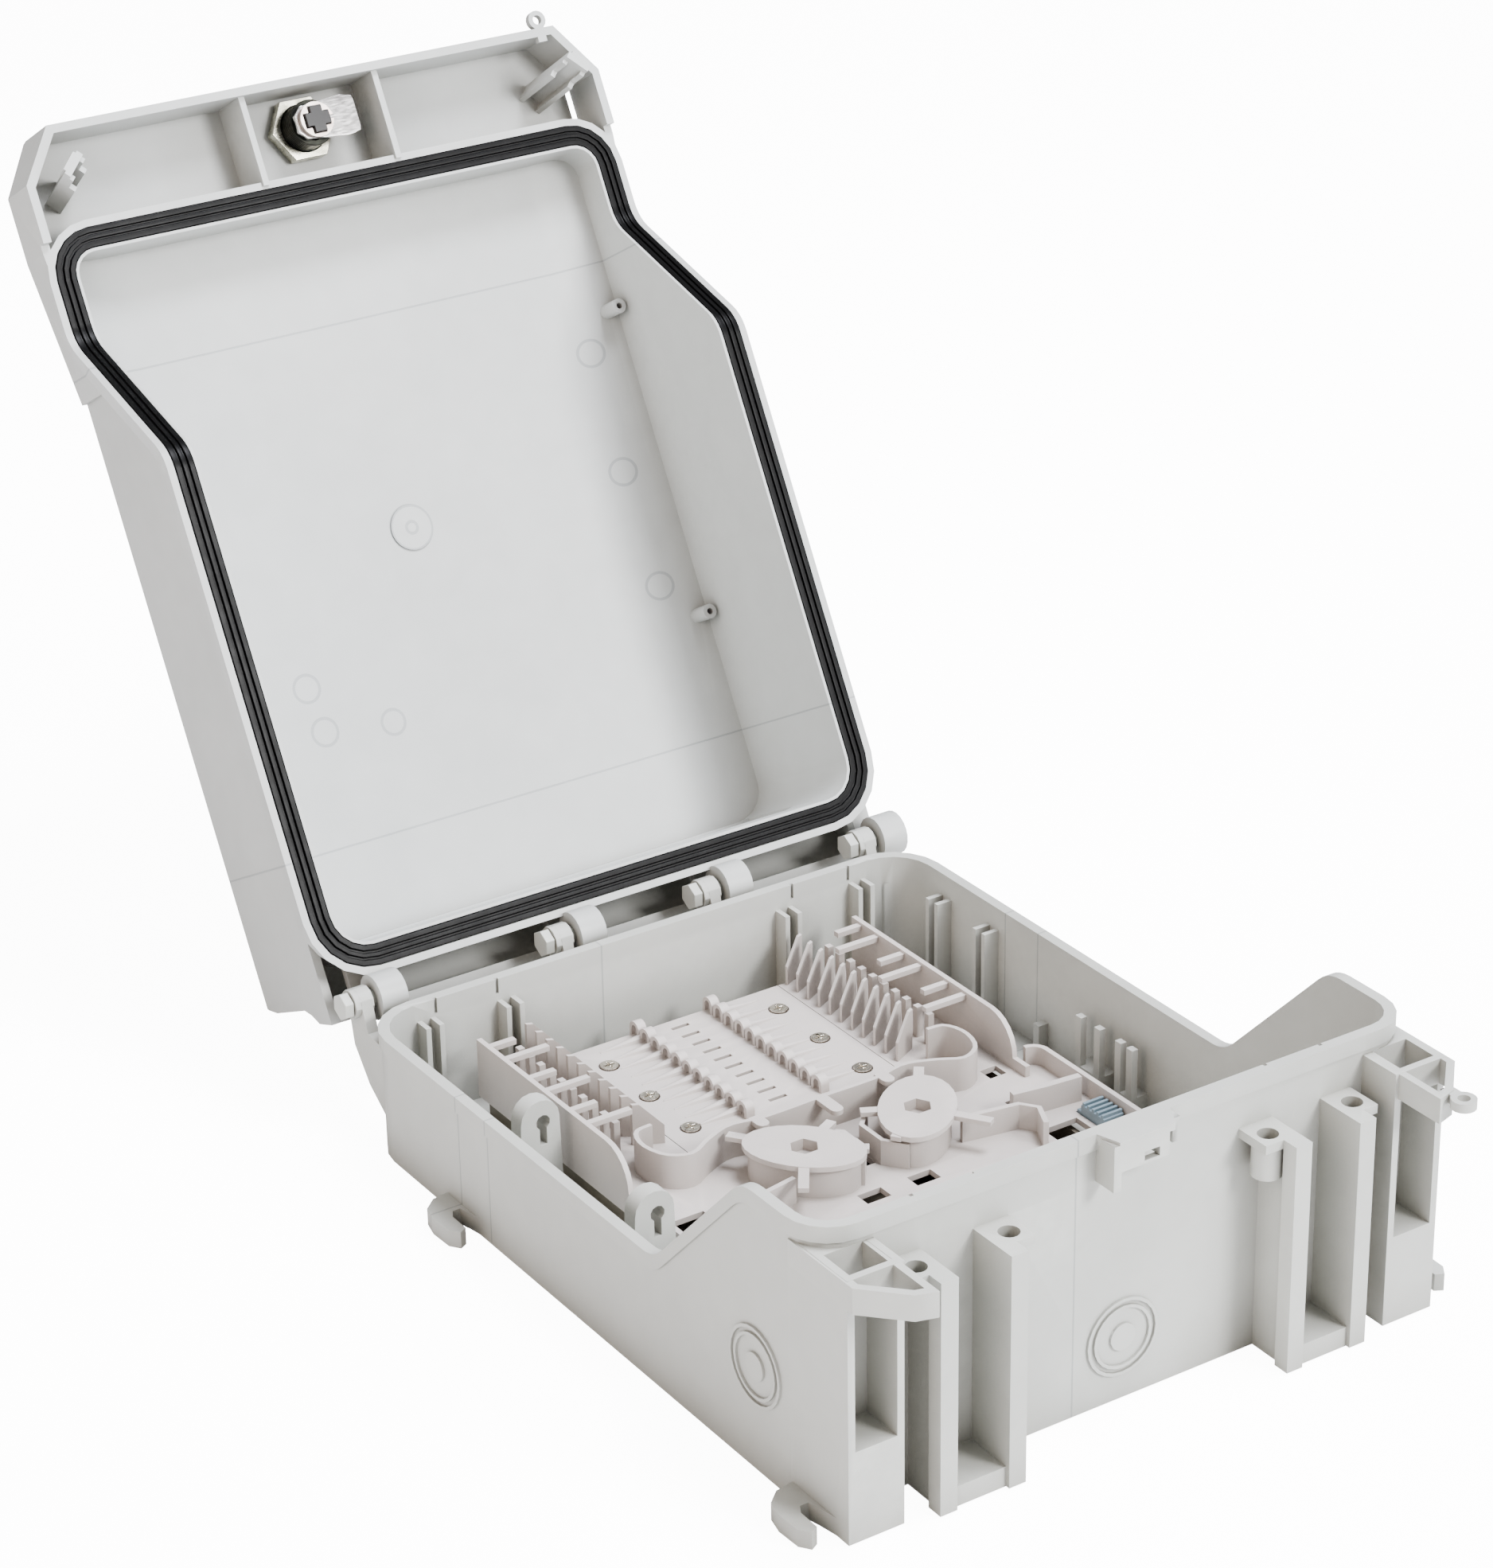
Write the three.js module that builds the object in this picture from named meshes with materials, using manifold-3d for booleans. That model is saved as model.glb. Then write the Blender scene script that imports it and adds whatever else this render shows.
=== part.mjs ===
// Fibre termination box: wall tub, hinged lid with seal and cam lock, and a splice tray inside.
// Millimetres. X runs across the box, Y from the front wall to the hinge, Z up from the wall face.
import * as THREE from "three";
import { mergeVertices } from "three/addons/utils/BufferGeometryUtils.js";
import Module from "manifold-3d";

const wasm = await Module();
wasm.setup();

// ---- driving dimensions ------------------------------------------------------------------------
const FIT = 0.3; // clearance between neighbouring pieces

const BASE_W = 216;
const BASE_D = 260;
const WALL = 3;
const FLOOR = 3;
const REAR_RIM = 45;
const FRONT_RIM = 94;
const FRONT = -BASE_D / 2;
const REAR = BASE_D / 2;
const SIDE = BASE_W / 2;
const RAMP_TOP = FRONT + 35.6;
const RAMP_FOOT = FRONT + 83;
const RAMP_ROUND = 14;
const FRONT_CORNER = 14;
const REAR_CORNER = 18;
const RIM_BAND = 5.3;
const RIM_PROUD = 0.8;

const HINGE_Y = REAR + 11.2;
const HINGE_Z = REAR_RIM - 0.9;
const OPEN_ANGLE = 119.2;
const HINGE_PLACES = [-SIDE + 6.4, -25.5, 33.2, SIDE - 10.4];
const PIN_R = 3;
const LUG_R = 5;
const LUG_T = 4;
const KNUCKLE_R = 7.7;
const KNUCKLE_T = 9.6;
const KNUCKLE_SHIFT = 4.4;

const SEAL_OUT = 1.7; // outer edge of the seal beyond the tub wall
const SEAL_W = 6.8;
const SEAL_H = 5;
const RIM_GAP = 0.6; // lid rim above the tub rim when shut
const LIP = 2.5;
const LID_TOP = FRONT_RIM + 24;
const LID_SKIN = 3.3;
const LID_FLARE = 17;
const CATCH_LEAN = 5;
const LID_IN = SEAL_W - SEAL_OUT + 1.3; // inner lid wall inside the tub wall
const ROOF_FLAT = SIDE - 25;
const APRON_REACH = 37.5;
const APRON_EDGE = FRONT_RIM - 2.5;
const APRON_ROOF = LID_TOP - 6.5;
const APRON_CUT = 54;
const APRON_SIDE = SIDE + 4;
const FLANGE_REACH = 16.5;
const FLANGE_EDGE = 58;

const LOCK_Y = FRONT - 22;
const LOCK_BARREL_R = 8.2;
const LOCK_CORE_R = 6;
const LOCK_NECK_R = 4.7;
const LOCK_CROSS_W = 4.6;
const LOCK_NUT_R = 12.2;
const LOCK_NUT_T = 4.7;
const LOCK_CAM_Z = FRONT_RIM + 2;
const LOCK_CAM_T = 2;
const LOCK_CAM_W = 14.5;
const LOCK_CAM_REACH = 16.5;

const RIB_DEPTH = 18.3;
const RIB_TOP = 77.5;
const CHANNEL_IN = 54.3;
const CHANNEL_OUT = 72.5;
const RIB_T = 4.2;
const POST_TOP = 87;
const POST_IN = SIDE - 19.5;

const TRAY_W = 150;
const TRAY_REAR = REAR - 17.2;
const TRAY_FRONT = FRONT + 88;
const TRAY_SKIN = 1.8;
const DECK_Z = 17.3;
const DECK_HALF = 42.5;
const DECK_FRONT = FRONT + 158.5;
const TRAY_BOTTOM = 13.3;
const TRAY_WALL_TOP = 34.3;
const GUIDE_TOP = 29.3;
const SPOOL_X = 21.7;
const SPOOL_Y = FRONT + 132.5;
const SPLICE_COUNT = 11;
const SPLICE_PITCH = 6.45;
const SPLICE_X = 14.5;
const SCREW_X = 33.5;
const SCREW_FIRST = FRONT + 179.8;
const SCREW_PITCH = 24.5;
const WING_SIDE = TRAY_W / 2 + 9;

const v2 = (x, y) => new THREE.Vector2(x, y);

// ---- solids ------------------------------------------------------------------------------------
function solidOf(geometry) {
  const flat = geometry.index ? geometry.toNonIndexed() : geometry;
  flat.deleteAttribute("normal");
  flat.deleteAttribute("uv");
  const merged = mergeVertices(flat, 1e-4);
  return new wasm.Manifold(
    new wasm.Mesh({
      numProp: 3,
      vertProperties: new Float32Array(merged.attributes.position.array),
      triVerts: new Uint32Array(merged.index.array),
    }),
  );
}

function joined(solids) {
  return solids.reduce((all, next) => all.add(next));
}

function meshOf(name, solid, material) {
  const made = solid.getMesh();
  const geometry = new THREE.BufferGeometry();
  geometry.setAttribute("position", new THREE.BufferAttribute(made.vertProperties, 3));
  geometry.setIndex(new THREE.BufferAttribute(made.triVerts, 1));
  const mesh = new THREE.Mesh(geometry, material);
  mesh.name = name;
  return mesh;
}

function box(x0, x1, y0, y1, z0, z1) {
  const geometry = new THREE.BoxGeometry(Math.abs(x1 - x0), Math.abs(y1 - y0), Math.abs(z1 - z0));
  return solidOf(geometry.translate((x0 + x1) / 2, (y0 + y1) / 2, (z0 + z1) / 2));
}

// A box on one side of the middle plane: side is -1 or 1, a and b are distances from the plane.
function sideBox(side, a, b, y0, y1, z0, z1) {
  return box(side * a, side * b, y0, y1, z0, z1);
}

function shapeOf(points, hole) {
  const shape = new THREE.Shape(points);
  if (hole) shape.holes.push(new THREE.Path(hole));
  return shape;
}

function extruded(points, depth, hole) {
  const settings = { depth, bevelEnabled: false, steps: 1 };
  return new THREE.ExtrudeGeometry(shapeOf(points, hole), settings);
}

// Plan outline (x, y) raised from z0 to z1.
function raised(points, z0, z1, hole) {
  return solidOf(extruded(points, z1 - z0, hole).translate(0, 0, z0));
}

// Side outline (y, z) carried across from x0 to x1.
function across(points, x0, x1, hole) {
  const turn = new THREE.Matrix4().makeBasis(
    new THREE.Vector3(0, 1, 0),
    new THREE.Vector3(0, 0, 1),
    new THREE.Vector3(1, 0, 0),
  );
  return solidOf(extruded(points, x1 - x0, hole).applyMatrix4(turn).translate(x0, 0, 0));
}

// Front outline (x, z) carried back from y0 to y1.
function carried(points, y0, y1, hole) {
  const turn = new THREE.Matrix4().makeBasis(
    new THREE.Vector3(1, 0, 0),
    new THREE.Vector3(0, 0, 1),
    new THREE.Vector3(0, -1, 0),
  );
  return solidOf(extruded(points, y1 - y0, hole).applyMatrix4(turn).translate(0, y1, 0));
}

function upright(radius, x, y, z0, z1, sides = 20) {
  const geometry = new THREE.CylinderGeometry(radius, radius, z1 - z0, sides);
  geometry.rotateX(Math.PI / 2).rotateZ(Math.PI / sides);
  return solidOf(geometry.translate(x, y, (z0 + z1) / 2));
}

function lying(radius, x0, x1, y, z, sides = 20) {
  const geometry = new THREE.CylinderGeometry(radius, radius, x1 - x0, sides);
  geometry.rotateZ(Math.PI / 2);
  return solidOf(geometry.translate((x0 + x1) / 2, y, z));
}

function mirrored(points) {
  return points.map((p) => v2(-p.x, p.y)).reverse();
}

// ---- outlines ----------------------------------------------------------------------------------
function arc(cx, cy, radius, from, to, steps) {
  const points = [];
  for (let i = 0; i <= steps; i++) {
    const a = THREE.MathUtils.degToRad(from + ((to - from) * i) / steps);
    points.push(v2(cx + radius * Math.cos(a), cy + radius * Math.sin(a)));
  }
  return points;
}

// A polyline whose inner corners are rounded to the radius given.
function softened(points, radius, steps) {
  const out = [points[0]];
  for (let i = 1; i < points.length - 1; i++) {
    const back = points[i - 1].clone().sub(points[i]).normalize();
    const on = points[i + 1].clone().sub(points[i]).normalize();
    const half = Math.acos(THREE.MathUtils.clamp(back.dot(on), -1, 1)) / 2;
    const run = radius / Math.tan(half);
    const start = points[i].clone().addScaledVector(back, run);
    const end = points[i].clone().addScaledVector(on, run);
    const curve = new THREE.QuadraticBezierCurve(start, points[i], end);
    out.push(...curve.getPoints(steps));
  }
  out.push(points[points.length - 1]);
  return out;
}

// Rim height along the box, from behind the rear wall to ahead of the front wall.
const RIM_REACH = 90;
const rimLine = softened(
  [
    v2(REAR + RIM_REACH, REAR_RIM),
    v2(RAMP_FOOT, REAR_RIM),
    v2(RAMP_TOP, FRONT_RIM),
    v2(FRONT - RIM_REACH, FRONT_RIM),
  ],
  RAMP_ROUND,
  5,
);
const rimBends = rimLine.slice(1, -1).map((p) => p.x);

function rimHeight(y) {
  for (let i = 0; i < rimLine.length - 1; i++) {
    const a = rimLine[i];
    const b = rimLine[i + 1];
    if (y <= a.x && y >= b.x) return a.y + ((b.y - a.y) * (y - a.x)) / (b.x - a.x);
  }
  return FRONT_RIM;
}

// The tub's plan outline moved outwards by the amount given, with a point at each bend of the rim.
function planOutline(out, steps = 5) {
  const x = SIDE + out;
  const front = FRONT - out;
  const rear = REAR + out;
  const f = FRONT_CORNER + out;
  const r = REAR_CORNER + out;
  const bends = rimBends.map((y) => v2(x, y)).reverse();
  return [
    ...arc(x - f, front + f, f, -90, 0, steps),
    ...bends,
    ...arc(x - r, rear - r, r, 0, 90, steps),
    ...arc(-x + r, rear - r, r, 90, 180, steps),
    ...rimBends.map((y) => v2(-x, y)),
    ...arc(-x + f, front + f, f, 180, 270, steps),
  ];
}

// A ring that follows the rim: outer and inner are its edges beyond the tub wall, low and high its
// heights, topOuter the outer edge at the top when that is drawn in. Both edges have a point at each
// bend of the rim, so the four-sided section is carried round a torus grid and set point by point.
function rimRing(outer, inner, low, high, topOuter = outer) {
  const corners = [
    [outer, low],
    [topOuter, high],
    [inner, high],
    [inner, low],
  ].map(([out, level]) => planOutline(out).map((p) => new THREE.Vector3(p.x, p.y, level + rimHeight(p.y))));
  const around = corners[0].length;
  const geometry = new THREE.TorusGeometry(2, 1, corners.length, around);
  const position = geometry.attributes.position;
  for (let j = 0; j <= corners.length; j++) {
    for (let i = 0; i <= around; i++) {
      const p = corners[j % corners.length][i % around];
      position.setXYZ(j * (around + 1) + i, p.x, p.y, p.z);
    }
  }
  return solidOf(geometry);
}

function underRim(lift) {
  const line = rimLine.map((p) => v2(p.x, p.y + lift));
  const edge = SIDE + 20;
  return across([v2(FRONT - RIM_REACH, -20), v2(REAR + RIM_REACH, -20), ...line], -edge, edge);
}

// A strip of even width along a plan path.
function strip(points, width) {
  const left = [];
  const right = [];
  points.forEach((p, i) => {
    const a = points[Math.max(i - 1, 0)];
    const b = points[Math.min(i + 1, points.length - 1)];
    const across2 = v2(-(b.y - a.y), b.x - a.x).normalize().multiplyScalar(width / 2);
    left.push(p.clone().add(across2));
    right.push(p.clone().sub(across2));
  });
  return [...right, ...left.reverse()];
}

// ---- tub ---------------------------------------------------------------------------------------
function tubShell() {
  const outer = raised(planOutline(0), 0, FRONT_RIM + 1).intersect(underRim(0));
  const inside = raised(planOutline(-WALL), FLOOR, FRONT_RIM + 2);
  return outer.subtract(inside).add(rimRing(RIM_PROUD, -WALL, -RIM_BAND, 0));
}

// Ribs, cable channel, screw tabs and corner post on one side of the front wall.
function frontFittings(side) {
  const face = FRONT - RIB_DEPTH;
  const lipBack = FRONT - 12.5;
  const into = FRONT + 1;
  const lipW = 1.8;
  const tabY = FRONT - 7;
  const parts = [
    sideBox(side, CHANNEL_IN - RIB_T, CHANNEL_IN, face, into, 0, RIB_TOP),
    sideBox(side, CHANNEL_IN - RIB_T - lipW, CHANNEL_IN - RIB_T + 0.1, face, lipBack, 0, RIB_TOP),
    sideBox(side, CHANNEL_OUT, CHANNEL_OUT + RIB_T, face, into, 0, RIB_TOP),
    sideBox(side, CHANNEL_OUT + RIB_T - 0.1, CHANNEL_OUT + RIB_T + lipW, face, lipBack, 0, RIB_TOP),
    sideBox(side, CHANNEL_IN - 0.1, CHANNEL_OUT + 0.1, face + 1.5, into, 0, 6.8),
  ];
  const tabs = [CHANNEL_IN - RIB_T - 3.2, CHANNEL_OUT + RIB_T + 2.2];
  for (const x of tabs) {
    parts.push(sideBox(side, x - 5.2, x + 5.2, tabY - 5.5, into, RIB_TOP - 3, RIB_TOP));
    parts.push(upright(4.8, side * x, tabY, 64, RIB_TOP - 1, 16));
  }
  let made = joined(parts);
  for (const x of tabs) made = made.subtract(upright(3.3, side * x, tabY, 66, RIB_TOP + 1, 16));
  return made.subtract(channelRelief(side, face));
}

// The ribs are cored from the front so that no wall is thicker than the tub's own.
function channelRelief(side, face) {
  const core = 1.4;
  return joined([
    sideBox(side, CHANNEL_IN - RIB_T + core, CHANNEL_IN - core, face + 3, FRONT - 1, -1, 70),
    sideBox(side, CHANNEL_OUT + core, CHANNEL_OUT + RIB_T - core, face + 3, FRONT - 1, -1, 70),
    sideBox(side, CHANNEL_IN + 2, CHANNEL_OUT - 2, face + 3.5, FRONT - 1, -1, 4.8),
  ]);
}

function cornerPost(side) {
  const face = FRONT - 14.9;
  const x1 = SIDE - 0.4;
  const skin = 2.4;
  const into = FRONT + FRONT_CORNER;
  const block = sideBox(side, POST_IN, x1, face, into, 0, POST_TOP);
  const keepOut = raised(planOutline(-WALL), FLOOR, FRONT_RIM + 2);
  const well = sideBox(side, POST_IN + skin, x1 - skin, face + skin, FRONT - 0.1, 30.5, POST_TOP + 1);
  const window = sideBox(side, POST_IN + skin, x1 - skin, face - 1, face + skin + 1, 30.5, 78.5);
  const foot = sideBox(side, POST_IN + skin, x1 - skin, face + skin, FRONT - 0.1, -1, 28);
  const band = 8.5;
  const loop = [
    v2(side * (SIDE - 18.3), FRONT + 1),
    v2(side * (SIDE - 18.3), FRONT - 33),
    v2(side * (SIDE - 11.6), FRONT - 31),
    v2(side * (SIDE + 0.3), FRONT - 18.4),
    v2(side * (SIDE + 0.3), FRONT + 13),
    v2(side * (SIDE - 2), FRONT + 13),
    v2(side * (SIDE - 2.2), FRONT - 17.4),
    v2(side * (SIDE - 13), FRONT - 28.6),
    v2(side * (SIDE - 15.8), FRONT - 29.4),
    v2(side * (SIDE - 15.8), FRONT + 1),
  ];
  const ring = raised(loop, POST_TOP - band, POST_TOP - 0.1);
  return block.subtract(well).subtract(window).subtract(foot).add(ring).subtract(keepOut);
}

// Small ear with a hole for a seal wire.
function wireEar(x, y, z0, z1, radius) {
  const stem = box(x - radius / 2, x + radius / 2, y, y + 8, z0, z1);
  const hole = upright(radius * 0.5, x, y, z0 - 1, z1 + 1, 12);
  return upright(radius, x, y, z0, z1, 16).add(stem).subtract(hole);
}

function latchHood() {
  const reach = FRONT - 8.5;
  const into = FRONT + 1;
  const plate = [v2(-12, into), v2(-9, reach), v2(11, reach), v2(16, into)];
  return joined([
    raised(plate, FRONT_RIM - 2.4, FRONT_RIM),
    box(-11, -8.2, reach, into, FRONT_RIM - 16, FRONT_RIM - 1),
    box(-8.5, 7, reach, reach + 2.4, FRONT_RIM - 10, FRONT_RIM - 1),
    box(6.5, 9, reach, into, FRONT_RIM - 10, FRONT_RIM - 1),
    box(12.8, 15.4, FRONT - 5, into, FRONT_RIM - 9, FRONT_RIM - 1),
  ]).subtract(box(0, 5.5, reach - 1, reach + 3, FRONT_RIM - 9, FRONT_RIM - 6));
}

// Wall hook at the foot of a side wall: open is the end of its slot, -1 towards the front.
function wallHook(side, y) {
  const outline = [
    v2(SIDE - 1, y + 13),
    v2(SIDE + 6, y + 12),
    v2(SIDE + 10.5, y + 8),
    v2(SIDE + 11.9, y + 2),
    v2(SIDE + 11.5, y - 7),
    v2(SIDE + 9, y - 10.5),
    v2(SIDE + 6.3, y - 9),
    v2(SIDE + 6.3, y - 1),
    v2(SIDE + 4.6, y + 2),
    v2(SIDE + 1.8, y + 2),
    v2(SIDE + 0.8, y - 2),
    v2(SIDE - 1, y - 12.3),
  ];
  return raised(side > 0 ? outline : mirrored(outline), 0, 6);
}

function hingeLug(x) {
  const off = Math.max(Math.abs(x) + LUG_T - SIDE + REAR_CORNER, 0);
  const wall = REAR - REAR_CORNER + Math.sqrt(REAR_CORNER ** 2 - off ** 2) - 1;
  const outline = [
    v2(wall, 7),
    v2(HINGE_Y - 7, HINGE_Z - 27),
    v2(HINGE_Y + 1.8, HINGE_Z - 16),
    ...arc(HINGE_Y, HINGE_Z, LUG_R, 0, 180, 9),
    v2(HINGE_Y - 8, HINGE_Z - 8),
    v2(wall, HINGE_Z - 9),
  ];
  const web = across(outline, x - LUG_T / 2, x + LUG_T / 2);
  const bore = lying(PIN_R + FIT, x - LUG_T, x + LUG_T, HINGE_Y, HINGE_Z, 16);
  return web.add(lying(LUG_R, x - 4, x + 2.6, HINGE_Y, HINGE_Z, 12)).subtract(bore);
}

// A pair of ribs that make an upright slot on an inner wall; turn is the way the slot faces.
function slotRail(x, y, top, alongX) {
  const rib = 1.8;
  const gap = 3.2;
  const reach = 6;
  const parts = [];
  for (const s of [-1, 1]) {
    const c = (s * (gap + rib)) / 2;
    if (alongX) parts.push(box(x + c - rib / 2, x + c + rib / 2, y - reach, y + 1, FLOOR - 1, top));
    else {
      const inward = x > 0 ? -reach : reach;
      const wall = x > 0 ? 1 : -1;
      parts.push(box(x + wall, x + inward, y + c - rib / 2, y + c + rib / 2, FLOOR - 1, top));
    }
  }
  if (alongX) parts.push(box(x - gap / 2 - rib, x + gap / 2 + rib, y - 1.8, y + 1, FLOOR - 1, top - 3));
  return joined(parts);
}

// Post with a keyhole for a cable tie or strap.
function keyholePost(y) {
  const half = 7;
  const x = -SIDE + 21;
  const top = 43.4;
  const foot = [v2(x - half - 1, FLOOR - 1), v2(x + half + 1, FLOOR - 1)];
  const outline = [...foot, ...arc(x, top - half, half, 0, 180, 8)];
  const thick = 6;
  const hole = arc(x + 1, top - half - 1, 2.6, -60, 240, 8);
  const slot = [v2(x - 0.3, top - half - 9), v2(x + 2.3, top - half - 9)];
  return carried(outline, y - thick / 2, y + thick / 2, [...slot, ...hole].reverse());
}

function rightClips() {
  const inner = SIDE - WALL;
  const parts = [box(inner - 4, inner + 1, FRONT + 173.5, FRONT + 176.5, FLOOR - 1, 14)];
  for (const [near, far] of [[120, 124], [137, 145]]) {
    parts.push(box(inner - 7, inner - 4.6, FRONT + near, FRONT + near + 3, FLOOR - 1, 30));
    parts.push(box(inner - 7, inner - 4.6, FRONT + far + 2, FRONT + far + 5, FLOOR - 1, 30));
    parts.push(box(inner - 7, inner + 1, FRONT + near, FRONT + far + 5, FLOOR - 1, 12));
  }
  return joined(parts);
}

// Round knock-out: two raised rings and a centre disc on a wall.
function knockoutRings(place) {
  const low = 0.8;
  const rings = [
    [13, 12],
    [10.6, 9.6],
  ];
  const parts = rings.map(([a, b]) => {
    const hole = arc(0, 0, b, 360, 0, 24).slice(1);
    return raised(arc(0, 0, a, 0, 360, 24).slice(1), -1, low, hole);
  });
  parts.push(upright(4.5, 0, 0, -1, low, 20));
  return parts.map((part) => part.transform(place));
}

// Column-major placing matrices: ring axis to the front, and ring axis to the left.
function towardsFront(x, z) {
  return [1, 0, 0, 0, 0, 0, 1, 0, 0, -1, 0, 0, x, FRONT, z, 1];
}

function towardsLeft(y, z) {
  return [0, -1, 0, 0, 0, 0, 1, 0, -1, 0, 0, 0, -SIDE, y, z, 1];
}

// Small notches that mark the rim's inner edge, front and rear.
function rimNotches() {
  const half = 0.6;
  const notch = (side, x, y, rim) => sideBox(side, x - half, x + half, y - 1, y + 1, rim - RIM_BAND, rim + 1);
  const cuts = [];
  for (const side of [-1, 1]) {
    for (const x of [SIDE - 26.4, SIDE - 49.6]) cuts.push(notch(side, x, REAR - WALL, REAR_RIM));
    for (const x of [SIDE - 34.2, SIDE - 55]) cuts.push(notch(side, x, FRONT + WALL, FRONT_RIM));
  }
  return joined(cuts);
}

function tubBody() {
  const rails = [
    slotRail(-SIDE + 22.7, REAR - WALL, 38.6, true),
    slotRail(SIDE - 22.7, REAR - WALL, 38.6, true),
    slotRail(-55.1, REAR - WALL, 37, true),
    slotRail(55.1, REAR - WALL, 37, true),
    slotRail(-SIDE + WALL, REAR - 28, 37, false),
    slotRail(SIDE - WALL, REAR - 28, 37, false),
    slotRail(SIDE - WALL, REAR - 55, 37, false),
  ];
  const parts = [
    tubShell(),
    ...rails,
    frontFittings(-1),
    frontFittings(1),
    cornerPost(-1),
    cornerPost(1),
    wireEar(SIDE - 12, FRONT - 36, POST_TOP - 3.4, POST_TOP - 0.4, 4),
    latchHood(),
    keyholePost(FRONT + 186),
    keyholePost(FRONT + 119.6),
    rightClips(),
    ...knockoutRings(towardsFront(0, 21.7)),
    ...knockoutRings(towardsLeft(FRONT + 30.3, 35.7)),
  ];
  for (const side of [-1, 1]) {
    parts.push(wallHook(side, FRONT));
    parts.push(wallHook(side, FRONT + 194));
  }
  for (const x of HINGE_PLACES) parts.push(hingeLug(x));
  return joined(parts).subtract(rimNotches());
}

// Hinge pin: shaft through lug and knuckle, six-sided head outside the lug.
function hingePin(x) {
  const shaft = lying(PIN_R, x - 5, x + KNUCKLE_SHIFT + KNUCKLE_T, HINGE_Y, HINGE_Z, 16);
  return shaft.add(lying(LUG_R - 0.3, x - 7.6, x - 4.3, HINGE_Y, HINGE_Z, 6));
}

// ---- lid, drawn shut -----------------------------------------------------------------------------
function roofLimit(drop) {
  const flat = ROOF_FLAT - drop * 0.3;
  const outline = [
    v2(-SIDE - 20, -10),
    v2(SIDE + 20, -10),
    v2(SIDE + 20, LID_TOP - 12 - drop),
    v2(flat, LID_TOP - drop),
    v2(-flat, LID_TOP - drop),
    v2(-SIDE - 20, LID_TOP - 12 - drop),
  ];
  return carried(outline, FRONT - APRON_REACH - 20, REAR + FLANGE_REACH + 20);
}

// Lid seen from the side: front end, roof and the rounded rear.
function lidSide(inset) {
  const front = FRONT - APRON_REACH + inset;
  const top = LID_TOP - inset;
  const outline = [
    v2(front, -10),
    v2(REAR + FLANGE_REACH - inset, -10),
    v2(REAR + FLANGE_REACH - inset, FLANGE_EDGE),
    v2(REAR + 11 - inset, LID_TOP - 15),
    v2(REAR + 7 - inset, LID_TOP - 6 - inset / 2),
    v2(REAR - 2 - inset, top - 1),
    v2(REAR - 8, top),
    v2(front + 6, top),
    v2(front + 2, top - 2),
    v2(front, top - 6),
  ];
  return across(outline, -SIDE - 20, SIDE + 20);
}

function apron() {
  const plan = (inset, back) => [
    v2(-SIDE + 1 + inset, back),
    v2(-APRON_SIDE + inset, FRONT + 4),
    v2(-APRON_SIDE + inset, FRONT - 19 + inset * 0.4),
    v2(-APRON_SIDE + 13 + inset * 0.6, FRONT - APRON_REACH + inset),
    v2(APRON_SIDE - 13 - inset * 0.6, FRONT - APRON_REACH + inset),
    v2(APRON_SIDE - inset, FRONT - 19 + inset * 0.4),
    v2(APRON_SIDE - inset, FRONT + 4),
    v2(SIDE - 1 - inset, back),
  ];
  const outer = raised(plan(0, FRONT + APRON_CUT), 0, LID_TOP + 1);
  const ahead = box(-SIDE * 2, SIDE * 2, FRONT - APRON_REACH - 5, FRONT + 1, APRON_EDGE, LID_TOP + 5);
  const overRamp = box(-SIDE * 2, SIDE * 2, FRONT, FRONT + APRON_CUT + 5, 0, LID_TOP + 5);
  const behind = overRamp.subtract(underRim(RIM_GAP));
  const hollow = raised(plan(3, FRONT + 4.5), APRON_EDGE - 5, APRON_ROOF);
  const hood = outer.intersect(ahead.add(behind)).subtract(hollow);
  const ribs = [-26, 26].map((x) =>
    box(x - 1.1, x + 1.1, FRONT - APRON_REACH + 1, FRONT - 3, APRON_EDGE + 2, APRON_ROOF + 1),
  );
  return joined([hood, ...ribs]);
}

function rearFlange() {
  const half = SIDE - 0.5;
  const edge = REAR + FLANGE_REACH;
  const block = box(-half, half, REAR - REAR_CORNER - 4, edge, FLANGE_EDGE, LID_TOP + 1);
  const trough = [
    v2(REAR - 7, -1),
    v2(edge - 3, -1),
    v2(edge - 3, FLANGE_EDGE + 7),
    v2(edge - 6, FLANGE_EDGE + 11.5),
    v2(REAR + 5, FLANGE_EDGE + 14),
    v2(REAR - 7, FLANGE_EDGE + 15),
  ];
  const outside = [
    v2(edge + 20, FLANGE_EDGE + 9),
    v2(edge + 20, LID_TOP + 5),
    v2(REAR + 1, LID_TOP + 5),
    v2(REAR + 7, LID_TOP - 5),
    v2(REAR + 9, LID_TOP - 14),
    v2(REAR + 10, FLANGE_EDGE + 20),
    v2(edge - 4.5, FLANGE_EDGE + 15),
    v2(edge - 0.5, FLANGE_EDGE + 9),
  ];
  const cheek = 3;
  return block
    .subtract(across(trough, -half + cheek, half - cheek))
    .subtract(across(outside, -SIDE, SIDE));
}

function knuckle(x) {
  const x0 = x + KNUCKLE_SHIFT;
  const x1 = x0 + KNUCKLE_T;
  const eye = lying(KNUCKLE_R, x0, x1, HINGE_Y, HINGE_Z, 20);
  const arm = box(x0, x1, HINGE_Y - 3, REAR + FLANGE_REACH - 0.5, HINGE_Z, FLANGE_EDGE + 8);
  const stay = box(x0, x1, REAR - 2, HINGE_Y + 2, HINGE_Z + 14, HINGE_Z + 17);
  return joined([eye, arm, stay]);
}

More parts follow.
